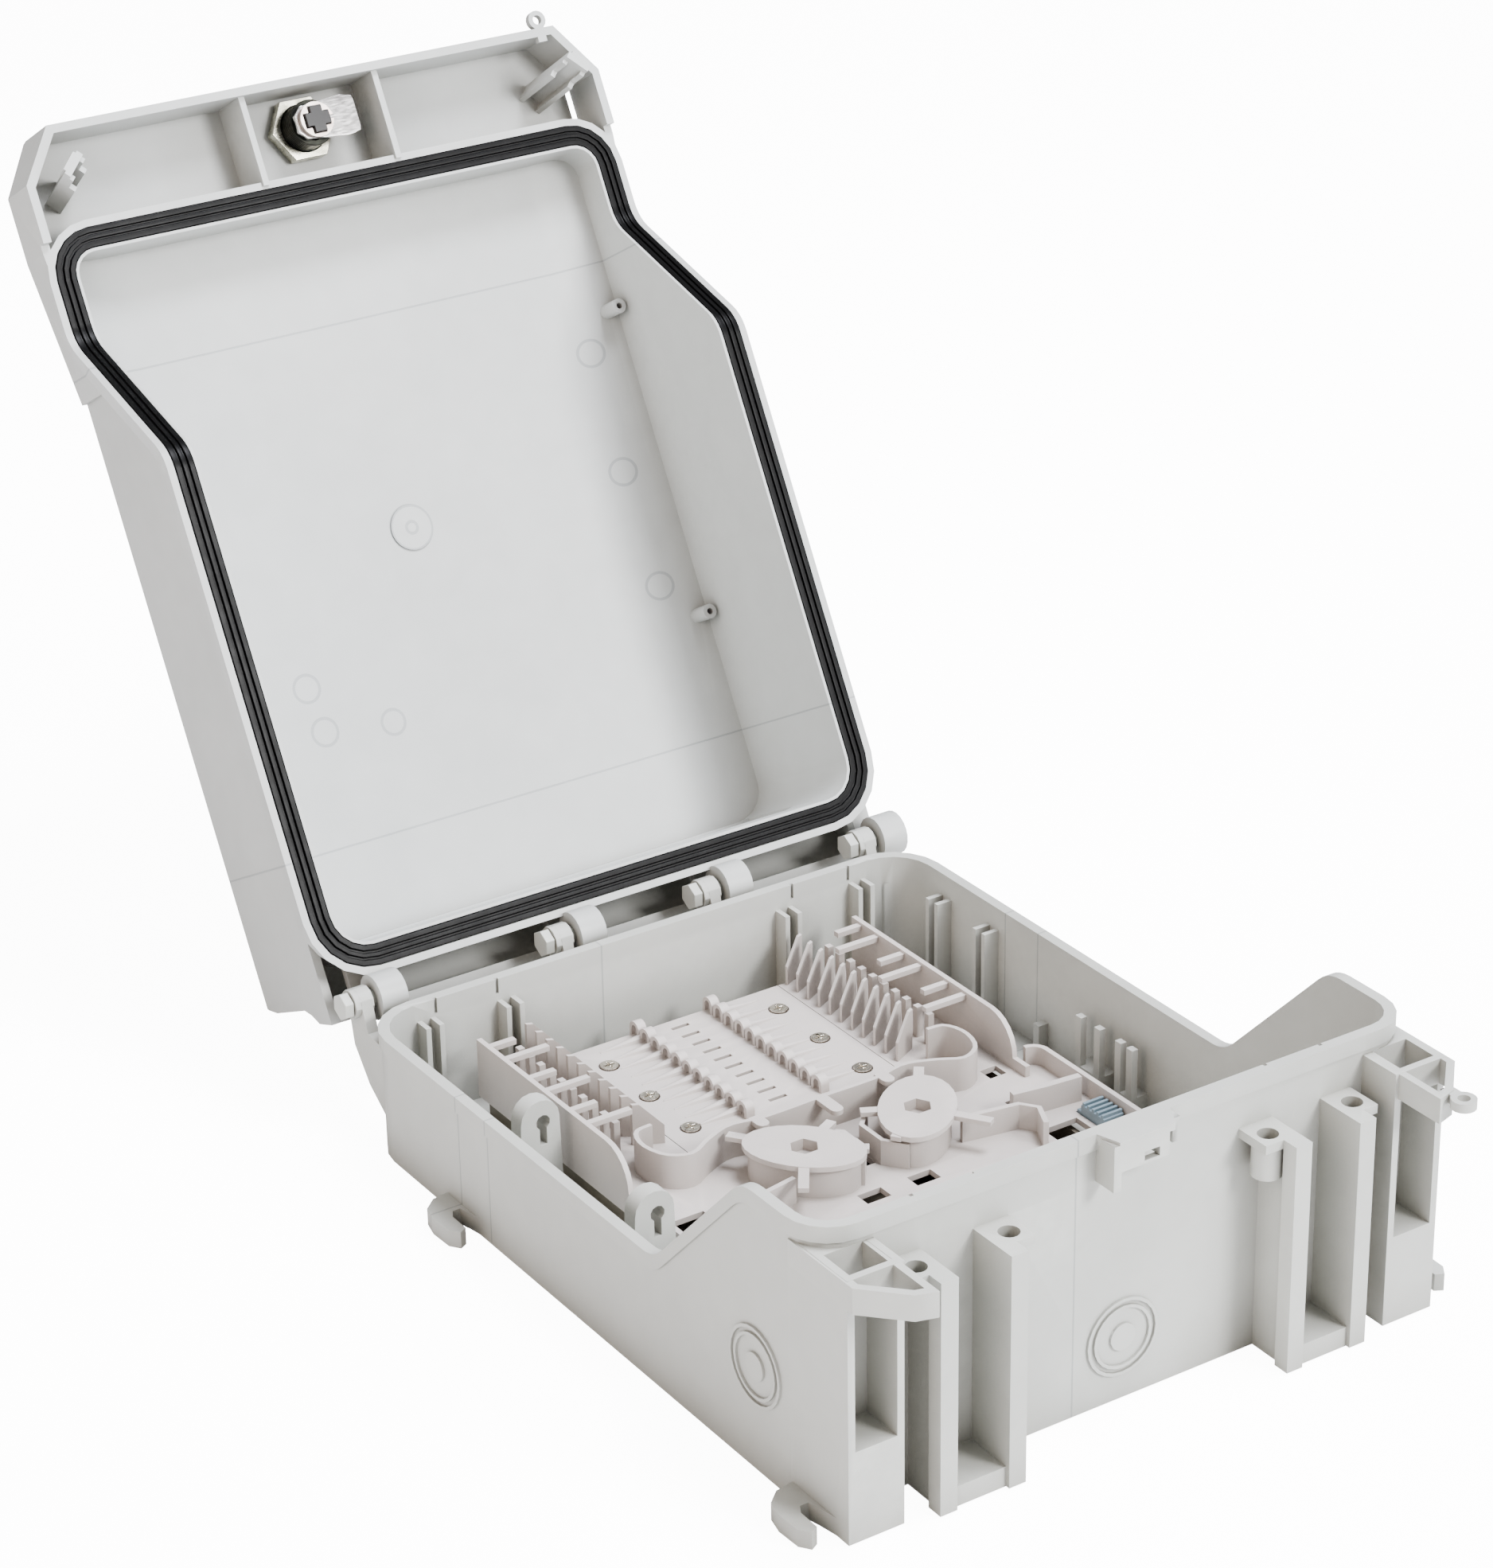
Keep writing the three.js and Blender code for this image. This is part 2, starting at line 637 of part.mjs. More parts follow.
// Catch in a front corner of the lid that drops through the tub's corner loop when shut.
function cornerCatch(side) {
  const tip = POST_TOP - 7;
  const root = APRON_ROOF + 1;
  const outward = v2(side, -1).normalize();
  const along = v2(side, 1).normalize();
  const middle = v2(side * (SIDE - 9.64), FRONT - 21);
  const slab = (a0, a1, d0, d1, z0, z1) => {
    const corners = [[a0, d0], [a1, d0], [a1, d1], [a0, d1]];
    const at = ([a, d]) => middle.clone().addScaledVector(along, a).addScaledVector(outward, d);
    const points = corners.map(at);
    return raised(side > 0 ? points : points.reverse(), z0, z1);
  };
  const made = joined([
    slab(-4.6, 4.6, -1.2, 1.2, tip, root),
    slab(-4.6, -2.8, -2.6, 0, tip + 2, root),
    slab(2.8, 4.6, -2.6, 0, tip + 2, root),
    slab(-4.6, -2.8, -5, 0, POST_TOP + 1.5, root),
    slab(2.8, 4.6, -5, 0, POST_TOP + 1.5, root),
    slab(-3.6, 3.6, 0, 2.2, tip, tip + 6),
  ]);
  const lean = CATCH_LEAN / (root - tip);
  const shear = [1, 0, 0, 0, 0, 1, 0, 0, -outward.x * lean, -outward.y * lean, 1, 0];
  return made.transform([...shear, outward.x * lean * tip, outward.y * lean * tip, 0, 1]);
}

function lidBosses() {
  const boss = (y) =>
    upright(2.7, SIDE - 10, FRONT + y, LID_TOP - 17, LID_TOP - 3, 12).subtract(
      upright(1.2, SIDE - 10, FRONT + y, LID_TOP - 18, LID_TOP - 9, 8),
    );
  return [boss(64), boss(178)];
}

function sideDraft(side) {
  const outline = [
    v2(side * (SIDE - 0.5), REAR_RIM + LID_FLARE),
    v2(side * (SIDE + 30), REAR_RIM + LID_FLARE),
    v2(side * (SIDE + 30), LID_TOP + 2),
    v2(side * (SIDE - 3.5), LID_TOP + 2),
  ];
  return carried(side > 0 ? outline : outline.reverse(), FRONT - 60, REAR + 60);
}

function lidCover() {
  const drafts = sideDraft(-1).add(sideDraft(1));
  const core = raised(planOutline(-0.5), REAR_RIM, LID_TOP + 1).subtract(underRim(RIM_GAP)).subtract(drafts);
  const flare = rimRing(SEAL_OUT + LIP + FIT, -LID_IN, RIM_GAP, RIM_GAP + LID_FLARE, -0.6);
  const pocket = box(-SIDE + 14.5, SIDE - 14.5, REAR - 10, REAR + 6, FLANGE_EDGE + 18, LID_TOP - 9);
  const cavity = raised(planOutline(-LID_IN), -1, LID_TOP - LID_SKIN).intersect(roofLimit(LID_SKIN));
  const inside = cavity.add(pocket);
  const shell = joined([core, apron(), rearFlange().subtract(drafts), flare]);
  const groove = rimRing(SEAL_OUT + FIT, SEAL_OUT - SEAL_W - FIT, RIM_GAP - 1, RIM_GAP + SEAL_H);
  const barrel = upright(LOCK_BARREL_R + FIT, 0, LOCK_Y, APRON_ROOF - 5, LID_TOP + 5, 28);
  const bores = lying(PIN_R + FIT, -SIDE, SIDE + 20, HINGE_Y, HINGE_Z, 16);
  const body = shell.intersect(roofLimit(0)).intersect(lidSide(0)).subtract(inside).subtract(groove);
  const added = [
    ...HINGE_PLACES.map(knuckle),
    cornerCatch(-1),
    cornerCatch(1),
    ...lidBosses(),
    wireEar(SIDE - 14.5, FRONT - 40.5, APRON_EDGE, APRON_EDGE + 2.4, 3.4),
    upright(8, 0, FRONT + 121.3, LID_TOP - LID_SKIN - 0.6, LID_TOP - 1, 24),
  ];
  return joined([body, ...added]).subtract(barrel).subtract(bores);
}

function lidSeal() {
  const body = rimRing(SEAL_OUT, SEAL_OUT - SEAL_W, FIT, FIT + SEAL_H);
  const flute = 0.9;
  const third = SEAL_W / 3;
  const cuts = [1, 2].map((i) => {
    const middle = SEAL_OUT - third * i;
    return rimRing(middle + flute / 2, middle - flute / 2, -1, FIT + 1);
  });
  return cuts.reduce((all, cut) => all.subtract(cut), body);
}

// ---- lock, drawn shut ----------------------------------------------------------------------------
function lockBody() {
  const end = LOCK_CAM_Z + LOCK_CAM_T + 0.6;
  const barrel = upright(LOCK_BARREL_R, 0, LOCK_Y, end, LID_TOP + 1, 28);
  const head = upright(LOCK_BARREL_R + 3, 0, LOCK_Y, LID_TOP + FIT, LID_TOP + 3, 28);
  const bore = upright(LOCK_CORE_R + FIT, 0, LOCK_Y, end - 1, LID_TOP + 4, 24);
  return barrel.add(head).subtract(bore);
}

function lockNut() {
  const top = APRON_ROOF - FIT;
  const geometry = new THREE.CylinderGeometry(LOCK_NUT_R, LOCK_NUT_R, LOCK_NUT_T, 6);
  geometry.rotateX(Math.PI / 2).rotateZ(Math.PI / 2).translate(0, LOCK_Y, top - LOCK_NUT_T / 2);
  return solidOf(geometry).subtract(
    upright(LOCK_BARREL_R + FIT, 0, LOCK_Y, top - LOCK_NUT_T - 1, top + 1, 28),
  );
}

function lockCam() {
  const half = LOCK_CAM_W / 2;
  const tip = [
    v2(-half * 0.6, LOCK_Y - half * 0.8),
    v2(LOCK_CAM_REACH - 5, LOCK_Y - half),
    ...arc(LOCK_CAM_REACH - 4, LOCK_Y, half, -60, 60, 6).map((p) => v2(Math.min(p.x, LOCK_CAM_REACH), p.y)),
    v2(LOCK_CAM_REACH - 5, LOCK_Y + half),
    v2(-half * 0.6, LOCK_Y + half * 0.8),
    v2(-half, LOCK_Y + half * 0.4),
    v2(-half, LOCK_Y - half * 0.4),
  ];
  return raised(tip, LOCK_CAM_Z, LOCK_CAM_Z + LOCK_CAM_T).subtract(
    upright(LOCK_NECK_R + FIT, 0, LOCK_Y, LOCK_CAM_Z - 1, LOCK_CAM_Z + LOCK_CAM_T + 1, 20),
  );
}

function lockPlug() {
  const shoulder = LOCK_CAM_Z + LOCK_CAM_T + FIT;
  const tip = LOCK_CAM_Z - 3;
  const core = upright(LOCK_CORE_R, 0, LOCK_Y, shoulder, LID_TOP + 2.4, 24);
  const neck = upright(LOCK_NECK_R, 0, LOCK_Y, LOCK_CAM_Z - FIT, shoulder + 1, 20);
  const keyWay = upright(3.4, 0, LOCK_Y, LID_TOP - 4, LID_TOP + 4, 3);
  return joined([core, neck, lockCross(0, tip, LOCK_CAM_Z - FIT)]).subtract(keyWay);
}

// Cross-shaped end of the plug, which carries the spring clip.
function lockCross(grow, z0, z1) {
  const long = LOCK_CROSS_W + grow;
  const wide = LOCK_CROSS_W / 2 + grow;
  return box(-long, long, LOCK_Y - wide, LOCK_Y + wide, z0, z1).add(
    box(-wide, wide, LOCK_Y - long, LOCK_Y + long, z0, z1),
  );
}

function lockClip() {
  const low = LOCK_CAM_Z - 1.8;
  const high = LOCK_CAM_Z - FIT;
  return upright(LOCK_CORE_R + 0.3, 0, LOCK_Y, low, high, 28)
    .subtract(lockCross(FIT, low - 1, high + 1))
    .subtract(box(0, 10, LOCK_Y - 0.7, LOCK_Y + 0.7, low - 1, high + 1));
}

// ---- splice tray ---------------------------------------------------------------------------------
function traySideWall(side) {
  const outline = [
    v2(TRAY_REAR, TRAY_BOTTOM),
    v2(TRAY_REAR, TRAY_WALL_TOP),
    ...arc(FRONT + 164, TRAY_WALL_TOP - 13, 13, 90, 180, 6).map((p) => v2(p.x, p.y)),
    v2(TRAY_FRONT, TRAY_WALL_TOP - 13),
    v2(TRAY_FRONT, TRAY_BOTTOM),
  ].reverse();
  const x0 = TRAY_W / 2 - TRAY_SKIN;
  const x1 = TRAY_W / 2;
  return side > 0 ? across(outline, x0, x1) : across(outline, -x1, -x0);
}

function trayFingers(side) {
  const parts = [];
  const outer = TRAY_W / 2 - 1;
  for (const y of [238, 213, 188]) {
    parts.push(sideBox(side, 63.5, outer, FRONT + y - 1.2, FRONT + y + 1.2, 31.6, 33.4));
    parts.push(sideBox(side, 57, outer, FRONT + y - 11.2, FRONT + y - 8.8, 31.6, 33.4));
  }
  return joined(parts);
}

// Slanting blades and round-topped posts that part the fibres beside the deck.
function trayComb(side) {
  const parts = [];
  const low = DECK_Z - 1;
  for (let i = 0; i < SPLICE_COUNT; i++) {
    const y = FRONT + 177 + i * SPLICE_PITCH;
    const near = [v2(side * 45.4, y - 0.6), v2(side * 54.5, y + 4)];
    const plan = [...near, v2(side * 54.5, y + 5.3), v2(side * 45.4, y + 0.7)];
    const blade = raised(side > 0 ? plan : plan.reverse(), low, 32);
    const slope = carried(
      side > 0
        ? [v2(44, 22.5), v2(53.4, 33), v2(44, 33)]
        : [v2(-44, 22.5), v2(-44, 33), v2(-53.4, 33)],
      y - 3,
      y + 7,
    );
    parts.push(blade.subtract(slope));
    if (i < SPLICE_COUNT - 1) {
      parts.push(sideBox(side, 60, 62.2, y + 2.6, y + 5, low, 28.6));
    }
  }
  return joined(parts);
}

// Curved fence between the deck and the slack loops, one half.
function trayGuide(side) {
  const path = new THREE.CatmullRomCurve3(
    [
      [53.5, 171.5],
      [59.5, 170.5],
      [62.4, 163],
      [59.5, 153],
      [52.5, 149.3],
      [44, 153.5],
      [34, 157],
      [22, 155],
      [0, 155.2],
    ].map(([x, y]) => new THREE.Vector3(side * x, FRONT + y, 0)),
  );
  const points = path.getPoints(26).map((p) => v2(p.x, p.y));
  const outline = strip(points, 1.5);
  return raised(outline, DECK_Z - 1, GUIDE_TOP);
}

function trayTongue(x, y, length, width) {
  const end = FRONT + y - length;
  const outline = [
    v2(x - width / 2, FRONT + y + 1),
    v2(x - width / 2, end + width / 2),
    ...arc(x, end + width / 2, width / 2, 180, 360, 6).slice(1, -1),
    v2(x + width / 2, end + width / 2),
    v2(x + width / 2, FRONT + y + 1),
  ];
  return raised(outline, GUIDE_TOP - 1.6, GUIDE_TOP);
}

// Oval spool for fibre slack, with a six-sided hole through its top.
function traySpool(side) {
  const long = 20;
  const short = 12.6;
  const lean = THREE.MathUtils.degToRad(side > 0 ? 48 : 132);
  const oval = (grow) => {
    const points = [];
    for (let i = 0; i < 26; i++) {
      const a = (i / 26) * Math.PI * 2;
      const p = v2((long + grow) * Math.cos(a), (short + grow) * Math.sin(a));
      points.push(p.rotateAround(v2(0, 0), lean).add(v2(side * SPOOL_X, SPOOL_Y)));
    }
    return points;
  };
  const recess = 4;
  const geometry = new THREE.CylinderGeometry(4.8, 4.8, recess * 2, 6).rotateX(Math.PI / 2);
  const hex = solidOf(geometry.rotateZ(Math.PI / 6).translate(side * SPOOL_X, SPOOL_Y, GUIDE_TOP));
  const skirt = raised(oval(-1.8), DECK_Z - 1, GUIDE_TOP - 1);
  const hollow = raised(oval(-3.4), DECK_Z - 4, GUIDE_TOP - recess - 1.6);
  const cap = raised(oval(0), GUIDE_TOP - 1.8, GUIDE_TOP);
  const tabs = [
    [v2(side * 5, FRONT + 121), 3.4],
    [v2(side * 5.5, FRONT + 141), 3.4],
    [v2(side * 36, FRONT + 112), 3.4],
    [v2(side * 37, FRONT + 153), 3.4],
  ].map(([to, width]) => {
    const from = v2(side * SPOOL_X, SPOOL_Y);
    const start = from.clone().lerp(to, 0.4);
    return raised(strip([start, to], width), GUIDE_TOP - 1.8, GUIDE_TOP - 0.2);
  });
  return { add: joined([skirt, cap, ...tabs]), cut: joined([hollow, hex]) };
}

// Lead-in blocks that join the two spools and the outer ring to them.
function trayCrossing() {
  const walls = [
    strip([v2(-9, FRONT + 143), v2(-3.5, FRONT + 137.5), v2(-3.5, FRONT + 126), v2(-9, FRONT + 119)], 1.6),
    strip([v2(9, FRONT + 119), v2(3.5, FRONT + 126), v2(3.5, FRONT + 137.5), v2(9, FRONT + 143)], 1.6),
    strip([v2(32, FRONT + 123), v2(52, FRONT + 119.5), v2(56, FRONT + 114), v2(52, FRONT + 105)], 1.8),
    strip([v2(-52, FRONT + 105), v2(-56, FRONT + 114), v2(-52, FRONT + 119.5), v2(-32, FRONT + 123)], 1.8),
    strip([v2(54, FRONT + 126), v2(66, FRONT + 124), v2(79, FRONT + 122.8)], 2.6),
  ];
  return joined(walls.map((outline) => raised(outline, DECK_Z - 1, GUIDE_TOP - 3)));
}

function trayBody() {
  const half = TRAY_W / 2;
  const wingFront = TRAY_FRONT + 6;
  const wingRear = FRONT + 152;
  const floor = joined([
    box(-half + 1, half - 1, TRAY_FRONT, DECK_FRONT - FIT, DECK_Z - 2, DECK_Z),
    box(-half + 1, -DECK_HALF - FIT, DECK_FRONT - 1, TRAY_REAR, DECK_Z - 2, DECK_Z),
    box(DECK_HALF + FIT, half - 1, DECK_FRONT - 1, TRAY_REAR, DECK_Z - 2, DECK_Z),
    box(-DECK_HALF - 1, DECK_HALF + 1, DECK_FRONT - 3, TRAY_REAR, TRAY_BOTTOM, TRAY_BOTTOM + 1.8),
    box(-DECK_HALF - 1, DECK_HALF + 1, DECK_FRONT - 3, DECK_FRONT - FIT, TRAY_BOTTOM, DECK_Z),
    box(-DECK_HALF - 2, -DECK_HALF - FIT, DECK_FRONT - 1, TRAY_REAR, TRAY_BOTTOM, DECK_Z),
    box(DECK_HALF + FIT, DECK_HALF + 2, DECK_FRONT - 1, TRAY_REAR, TRAY_BOTTOM, DECK_Z),
    box(half - 1, WING_SIDE, wingFront, wingRear, DECK_Z - 2, DECK_Z),
    box(WING_SIDE - TRAY_SKIN, WING_SIDE, wingFront, wingRear - 5, DECK_Z - 2, 24),
    raised(strip(arc(WING_SIDE - 6, wingRear - 6, 5.1, 0, 90, 5), TRAY_SKIN), DECK_Z - 2, 24),
  ]);
  const spools = [traySpool(-1), traySpool(1)];
  const doorway = box(half - 3, half + 1, wingFront + 6, wingRear - 8, DECK_Z, 40);
  let made = joined([floor, traySideWall(-1), traySideWall(1)]).subtract(doorway);
  made = joined([
    made,
    trayFingers(-1),
    trayFingers(1),
    trayComb(-1),
    trayComb(1),
    trayGuide(-1),
    trayGuide(1),
    trayTongue(0, 155, 11, 4.4),
    trayTongue(-24.2, 156, 6, 4.4),
    trayTongue(24.2, 156, 6, 4.4),
    trayCrossing(),
    ...spools.map((s) => s.add),
  ]);
  for (const s of spools) made = made.subtract(s.cut);
  return made.subtract(trayOpenings()).subtract(clipSeat(FIT));
}

// Openings moulded through the tray floor under each tab, and the cable holes.
function trayOpenings() {
  const z0 = TRAY_BOTTOM - 2;
  const z1 = DECK_Z + 1;
  const cuts = [upright(3.4, 0, FRONT + 103, z0, z1, 16), box(-2.4, 2.4, FRONT + 128, FRONT + 136, z0, z1)];
  for (const side of [-1, 1]) {
    cuts.push(sideBox(side, 5, 14, FRONT + 109, FRONT + 115, z0, z1));
    cuts.push(sideBox(side, 57.5, 71, FRONT + 106, FRONT + 114, z0, z1));
    cuts.push(sideBox(side, 58, 72, FRONT + 128, FRONT + 135, z0, z1));
    cuts.push(sideBox(side, 40, 50, FRONT + 125, FRONT + 129, z0, z1));
    cuts.push(sideBox(side, 63.5, 70, FRONT + 150, FRONT + 156, z0, z1));
  }
  return joined(cuts);
}

// Splice holder: an arch over each splice, with a cone that leads the fibre to it.
function spliceHolders() {
  const parts = [];
  for (const side of [-1, 1]) {
    for (let i = 0; i < SPLICE_COUNT; i++) {
      const y = FRONT + 176.5 + i * SPLICE_PITCH;
      const x = side * SPLICE_X;
      const low = DECK_Z - 0.5;
      const mid = DECK_Z + 2.6;
      const outer = [v2(y + 2.9, low), ...arc(y, mid, 2.9, 0, 180, 7), v2(y - 2.9, low)];
      const inner = [v2(y - 1.6, low), ...arc(y, mid, 1.6, 180, 0, 7), v2(y + 1.6, low)];
      const arch = across([...outer, ...inner], x - 1.6, x + 1.6);
      parts.push(arch);
      if (i < SPLICE_COUNT - 1) {
        const cone = new THREE.CylinderGeometry(0.3, 2, 16, 8).rotateZ(side > 0 ? -Math.PI / 2 : Math.PI / 2);
        cone.translate(x + side * 8.9, y + SPLICE_PITCH / 2, DECK_Z);
        parts.push(solidOf(cone));
      }
    }
  }
  return joined(parts);
}

function screwPlaces() {
  const places = [];
  for (let row = 0; row < 3; row++) {
    for (const side of [-1, 1]) places.push([side * SCREW_X, SCREW_FIRST + row * SCREW_PITCH]);
  }
  return places;
}

function spliceDeck() {
  const low = TRAY_BOTTOM + 1.8 + FIT;
  let made = box(-DECK_HALF, DECK_HALF, DECK_FRONT, TRAY_REAR, low, DECK_Z);
  made = made.add(spliceHolders());
  for (let i = 0; i < SPLICE_COUNT - 1; i++) {
    const y = FRONT + 176.5 + (i + 0.5) * SPLICE_PITCH;
    made = made.subtract(box(-3.4, 3.4, y - 0.8, y + 0.8, low - 1, DECK_Z + 1));
  }
  for (const [x, y] of screwPlaces()) {
    made = made.subtract(upright(3.6, x, y, DECK_Z - 1, DECK_Z + 5, 16));
    made = made.subtract(upright(1.5 + FIT, x, y, low - 1, DECK_Z + 1, 10));
  }
  return made;
}

function trayScrew(x, y) {
  const seat = DECK_Z - 1 + 0.15;
  const head = upright(3.1, x, y, seat, DECK_Z + 0.6, 16);
  const shank = upright(1.4, x, y, DECK_Z - 1.9, seat + 0.3, 10);
  const slot = (a, b) => box(x - a, x + a, y - b, y + b, DECK_Z - 0.3, DECK_Z + 2);
  return head.add(shank).subtract(slot(1.9, 0.4)).subtract(slot(0.4, 1.9));
}

// ---- tray carrier and clip -----------------------------------------------------------------------
function trayCarrier() {
  const half = TRAY_W / 2 + 3.4;
  const front = TRAY_FRONT - 4;
  const rear = TRAY_REAR;
  const low = FLOOR + FIT;
  const top = TRAY_BOTTOM - FIT;
  const plate = box(-half, half, front, rear, low, low + 1.8);
  const walls = [-1, 1].map((side) => sideBox(side, half - 9, half - 7, front, rear, low, top));
  const ribs = [front + 20, rear - 20].map((y) => box(-half + 8, half - 8, y, y + 2, low, top));
  return joined([plate, ...walls, ...ribs]);
}

// Space the clip takes in the tray; grow widens it on every side.
function clipSeat(grow) {
  const x0 = WING_SIDE - 10.5 - grow;
  const x1 = WING_SIDE - TRAY_SKIN - FIT - 0.1;
  return box(x0, x1, FRONT + 101 - grow, FRONT + 117 + grow, DECK_Z - 3, DECK_Z + 8 + grow);
}

function trayClip() {
  const x0 = WING_SIDE - 10.5;
  const x1 = WING_SIDE - TRAY_SKIN - 2 * FIT - 0.1;
  const y0 = FRONT + 101;
  const parts = [
    box(x0, x1, y0, y0 + 16, DECK_Z - 1.8, DECK_Z + 1),
    box(x0, x1, y0 + 2, y0 + 14, DECK_Z, DECK_Z + 3.4),
  ];
  for (let i = 0; i < 5; i++) {
    const y = y0 + 2.6 + i * 2.4;
    parts.push(box(x0, x1, y, y + 1.1, DECK_Z + 3, DECK_Z + 4.6));
  }
  return joined(parts);
}

// ---- materials and assembly ----------------------------------------------------------------------
const material = (color, roughness, metalness = 0) =>
  new THREE.MeshStandardMaterial({ color, roughness, metalness });
const shellPlastic = material(0xc9ccc8, 0.5);
const lidPlastic = material(0xcdd0cd, 0.48);
const sealRubber = material(0x17181b, 0.6);
const pinPlastic = material(0xd6d9d4, 0.45);
const nickel = material(0xc9bfb4, 0.3, 1);
const blackZinc = material(0x1b1b1a, 0.4, 1);
const zincSteel = material(0xd8d6d0, 0.28, 1);
const plugBlack = material(0x1a1817, 0.5);
const trayPlastic = material(0xd6cfcb, 0.55);
const carrierPlastic = material(0x8f877b, 0.6);
const clipPlastic = material(0x7d93a3, 0.5);

const group = new THREE.Group();
group.name = "fibre_termination_box";
group.add(meshOf("base_tub", tubBody(), shellPlastic));
HINGE_PLACES.forEach((x, i) => group.add(meshOf("hinge_pin_" + (i + 1), hingePin(x), pinPlastic)));

const lid = new THREE.Group();
lid.name = "lid_assembly";
lid.position.set(0, HINGE_Y, HINGE_Z);
lid.rotation.x = -THREE.MathUtils.degToRad(OPEN_ANGLE);
group.add(lid);
const onLid = (name, solid, look) => {
  lid.add(meshOf(name, solid.translate([0, -HINGE_Y, -HINGE_Z]), look));
};
onLid("lid_cover", lidCover(), lidPlastic);
onLid("lid_gasket", lidSeal(), sealRubber);
onLid("lock_body", lockBody(), blackZinc);
onLid("lock_nut", lockNut(), zincSteel);
onLid("lock_cam", lockCam(), zincSteel);
onLid("lock_plug", lockPlug(), plugBlack);
onLid("lock_retaining_clip", lockClip(), nickel);

group.add(meshOf("tray_body", trayBody(), trayPlastic));
group.add(meshOf("splice_deck", spliceDeck(), trayPlastic));
screwPlaces().forEach(([x, y], i) => {
  group.add(meshOf("tray_screw_" + (i + 1), trayScrew(x, y), zincSteel));
});
group.add(meshOf("tray_carrier", trayCarrier(), carrierPlastic));
group.add(meshOf("tray_clip", trayClip(), clipPlastic));

export default group;
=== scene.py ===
"""Looks for a fibre termination box: wall tub, hinged lid, seal, cam lock and splice tray."""

import math

import bmesh
import bpy
from bpy.props import FloatProperty, FloatVectorProperty, PointerProperty
from mathutils import Matrix, Vector


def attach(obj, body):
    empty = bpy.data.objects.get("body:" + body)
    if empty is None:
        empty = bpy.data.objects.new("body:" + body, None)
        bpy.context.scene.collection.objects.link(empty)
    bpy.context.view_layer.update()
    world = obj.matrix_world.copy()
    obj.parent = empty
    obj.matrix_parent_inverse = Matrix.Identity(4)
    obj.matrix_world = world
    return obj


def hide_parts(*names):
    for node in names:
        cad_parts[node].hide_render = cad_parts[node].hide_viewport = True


bl_info = {
    "name": "Fibre Termination Box",
    "version": (1, 0, 0),
    "blender": (4, 5, 0),
    "location": "3D View > Sidebar > Termination Box",
    "description": "Finishes the termination box's pieces and sets its stage",
    "category": "Object",
}

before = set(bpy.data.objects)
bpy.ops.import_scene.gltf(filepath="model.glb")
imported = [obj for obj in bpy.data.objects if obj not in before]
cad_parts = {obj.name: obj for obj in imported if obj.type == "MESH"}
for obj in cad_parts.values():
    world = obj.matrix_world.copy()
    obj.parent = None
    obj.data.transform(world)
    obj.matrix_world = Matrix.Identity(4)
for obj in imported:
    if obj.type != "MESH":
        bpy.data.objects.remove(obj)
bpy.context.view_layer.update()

# ---- sizes and places, in metres ----------------------------------------------------------------

# The lid's patterns are laid out on the shut lid, and turned with it about the hinge.
HINGE = Vector((0.0, 0.1412, 0.0441))
OPEN = math.radians(119.2)
LID_OPEN = Matrix.Translation(HINGE) @ Matrix.Rotation(-OPEN, 4, "X") @ Matrix.Translation(-HINGE)
LID_SHUT = LID_OPEN.inverted()

# Circles in the lid's roof, as (centre in plan, radius): core pins, the gate and date rounds.
LID_CIRCLES = (
    ((0.088, -0.053), 0.0048),
    ((0.087, -0.009), 0.0048),
    ((0.088, 0.034), 0.0048),
    ((0.0, -0.0087), 0.0021),
    ((0.0, -0.0087), 0.0079),
    ((-0.028, 0.055), 0.0044),
    ((-0.056, 0.036), 0.0048),
    ((-0.054, 0.052), 0.0048),
)
# Lines where mould inserts met the cavity, as (axis across the line, place on it).
LID_SEAMS = (("Y", -0.084), ("Y", 0.092))
TUB_SEAMS = (("X", -0.018), ("Y", 0.05), ("Y", 0.068))
CIRCLE_HALF_WIDTH = 0.0005
SEAM_HALF_WIDTH = 0.0003

# Rounding of the small pieces' edges. The large mouldings take theirs from the panel.
SEAL_ROUND = 0.00025
LOCK_ROUND = 0.0002
NUT_ROUND = 0.0005
SPRING_ROUND = 0.0001
TRAY_ROUND = 0.00025
DECK_ROUND = 0.0002
SCREW_ROUND = 0.0002
CLIP_ROUND = 0.0002
CARRIER_ROUND = 0.0003
ROUND_SEGMENTS = 2
ROUND_ROOM = 2.6  # an edge shorter than this many roundings is left sharp
ROUND_FROM = math.radians(35)
SHARP_FROM = math.radians(32)
FLAT_WITHIN = math.radians(0.6)
SAME_POINT = 2e-6

# Moulded plastic. A real spark-eroded grain is about a tenth of this one, too fine to show.
GRAIN = 0.00035
# Size of the patches that break up the painted edge highlight.
EDGE_PATCH = 0.004
CLOUD = 0.009
SHEEN_PATCH = 0.02
SINK_WAVE = 0.07
# Painted shade: within this reach, the hollows are darkened towards this tone.
HOLLOW_SHADE_REACH = 0.03
HOLLOW_SHADE = (0.5, 0.48, 0.45)
# Painted shade along the mould lines.
LINE_SHADE = (0.72, 0.73, 0.75)
EDGE_LIGHT_FROM = 0.52  # pointiness above which an edge gets a painted highlight
EDGE_LIGHT_GAIN = 9.0

# Seal rubber: bloom on its face, patches of sheen, its own fine grain and a slow unevenness.
RUBBER_BLOOM = 0.002
RUBBER_PATCH = 0.006
RUBBER_GRAIN = 0.0006
RUBBER_WAVE = 0.012

# Plated metal: lines left by drawing, stretched along X.
DRAWN_LINE = 0.0005
DRAWN_STRETCH = 0.15
THREAD_PITCH = 0.001

